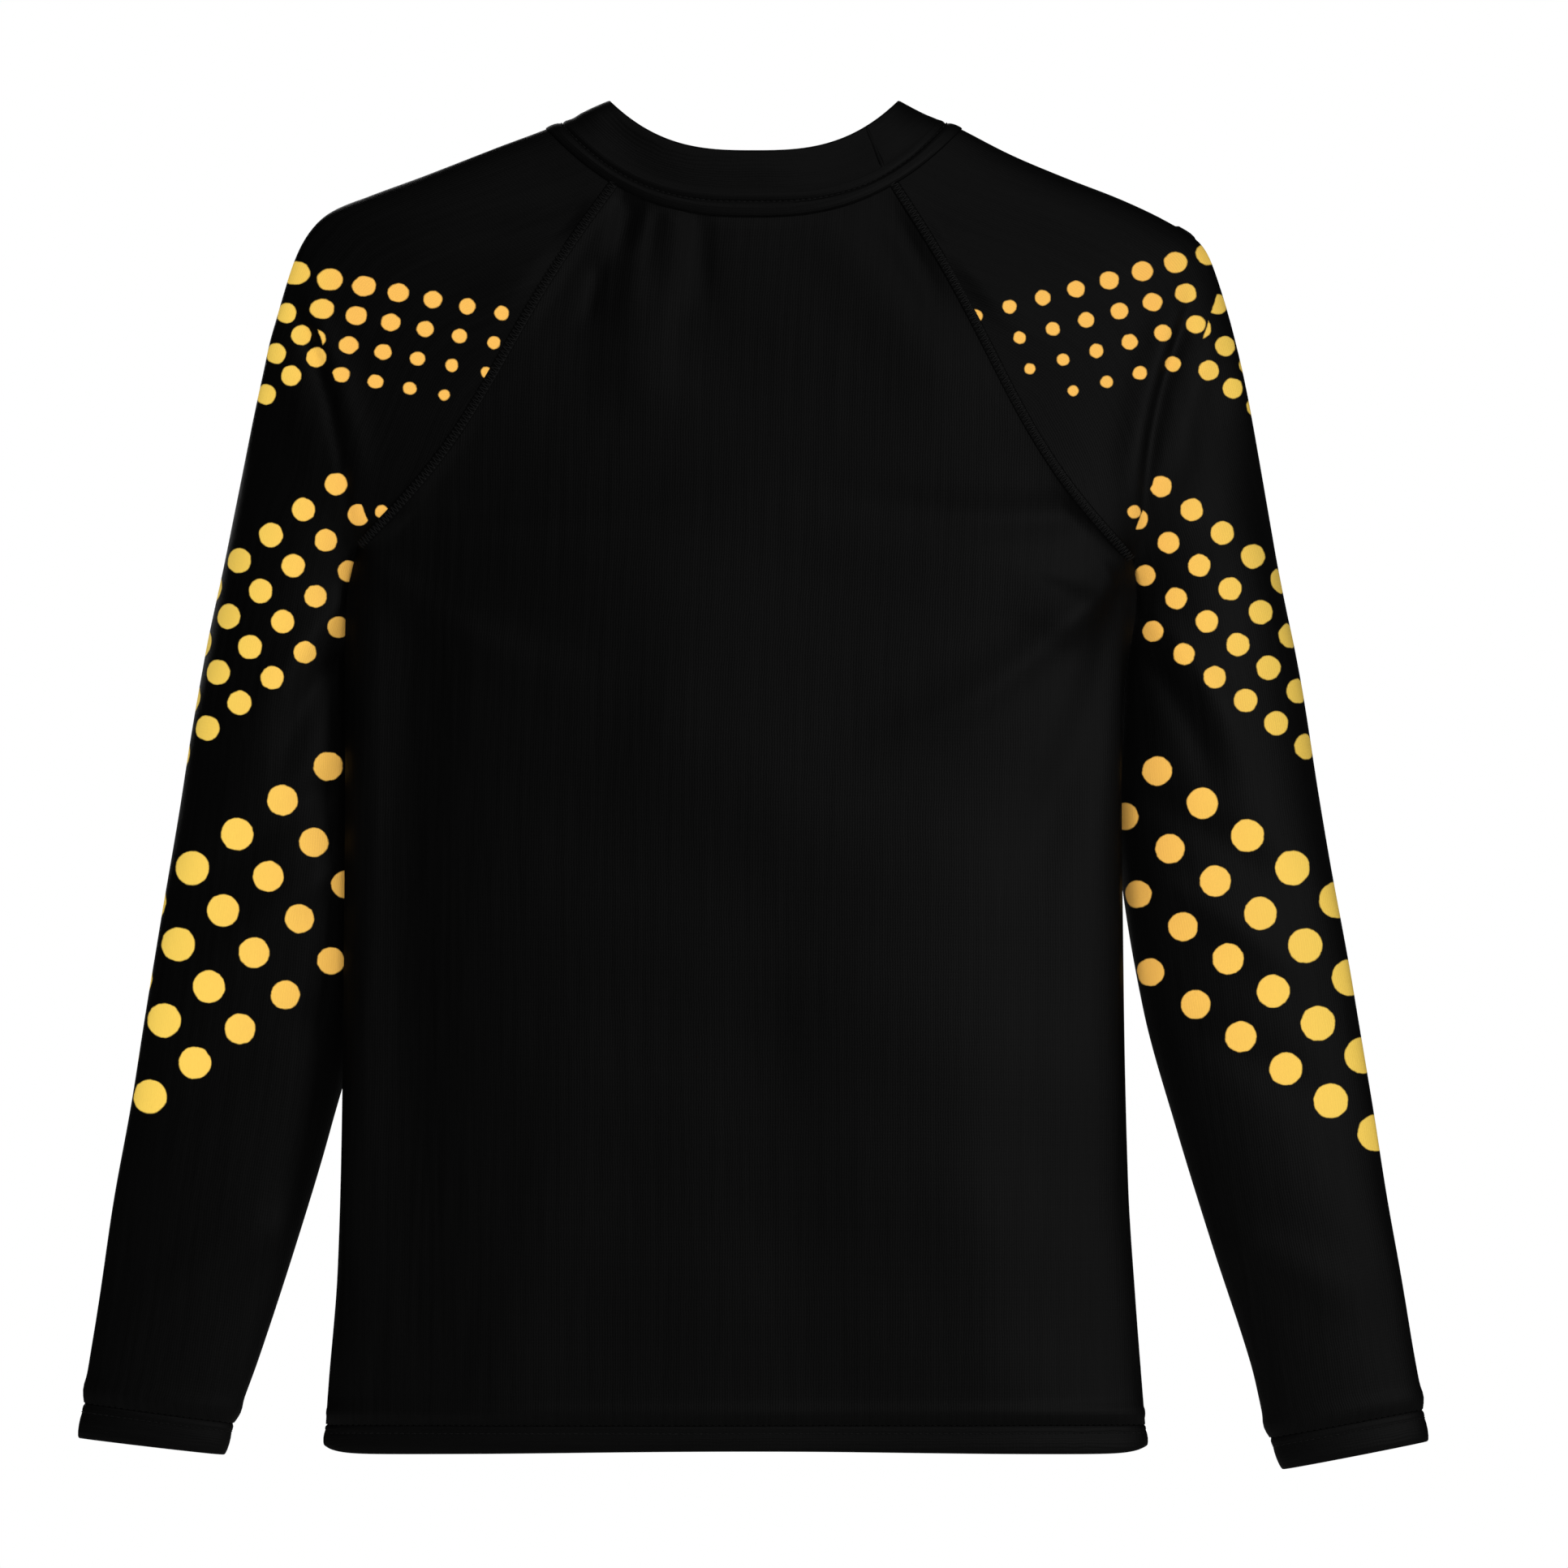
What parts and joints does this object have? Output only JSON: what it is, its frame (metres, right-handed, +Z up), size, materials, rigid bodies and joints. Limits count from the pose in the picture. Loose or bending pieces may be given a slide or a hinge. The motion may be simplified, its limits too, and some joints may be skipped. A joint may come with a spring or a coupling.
{
  "type": "cheer uniform top",
  "caption": "Long-sleeved raglan cheer top in stretch knit, with a low stand collar, turned-up hem and cuffs, and sleeves that lift at the shoulder and bend at the elbow.",
  "frame": {"origin": "centre of the neck opening, level with the neck points of the shoulders", "axes": "+Z up, +Y towards the wearer's front, +X towards the wearer's right"},
  "size_m": [0.6944, 0.1111, 0.7015],
  "materials": {
    "body_knit": "smooth stretch knit, faint sheen",
    "sleeve_knit": "smooth stretch knit with printed dots",
    "thread": "spun thread",
    "label": "woven satin ribbon"
  },
  "bodies": {
    "body": {"back_panel": "body_knit", "front_panel": "body_knit", "neck_binding": "body_knit", "collar_band": "body_knit", "bottom_hem": "body_knit", "left_sleeve_cap": "sleeve_knit", "right_sleeve_cap": "sleeve_knit", "care_label": "label", "neck_stitch": "thread", "collar_join_seam": "thread", "bottom_hem_stitch": "thread", "left_side_seam": "thread", "left_back_raglan_stitch": "thread", "left_front_raglan_stitch": "thread", "right_side_seam": "thread", "right_back_raglan_stitch": "thread", "right_front_raglan_stitch": "thread"},
    "left_upper": {"left_sleeve_upper": "sleeve_knit", "left_underarm_seam_upper": "thread"},
    "left_forearm": {"left_sleeve_lower": "sleeve_knit", "left_underarm_seam_lower": "thread", "left_cuff_hem": "sleeve_knit", "left_cuff_stitch": "thread"},
    "right_upper": {"right_sleeve_upper": "sleeve_knit", "right_underarm_seam_upper": "thread"},
    "right_forearm": {"right_sleeve_lower": "sleeve_knit", "right_underarm_seam_lower": "thread", "right_cuff_hem": "sleeve_knit", "right_cuff_stitch": "thread"}
  },
  "joints": [
    {"name": "left_shoulder", "type": "hinge", "parent": "body", "child": "left_upper", "pos_m": [-0.257, 0, -0.15], "axis": [0, 1, 0], "range_deg": [0, 60]},
    {"name": "left_elbow", "type": "hinge", "parent": "left_upper", "child": "left_forearm", "pos_m": [-0.24894, 0.0306, -0.37788], "axis": [0.9836, 0, -0.1803], "range_deg": [0, 80]},
    {"name": "right_shoulder", "type": "hinge", "parent": "body", "child": "right_upper", "pos_m": [0.2555, 0, -0.15], "axis": [0, -1, 0], "range_deg": [0, 60]},
    {"name": "right_elbow", "type": "hinge", "parent": "right_upper", "child": "right_forearm", "pos_m": [0.24256, 0.0305, -0.38486], "axis": [0.9853, 0, 0.1707], "range_deg": [0, 80]}
  ]
}
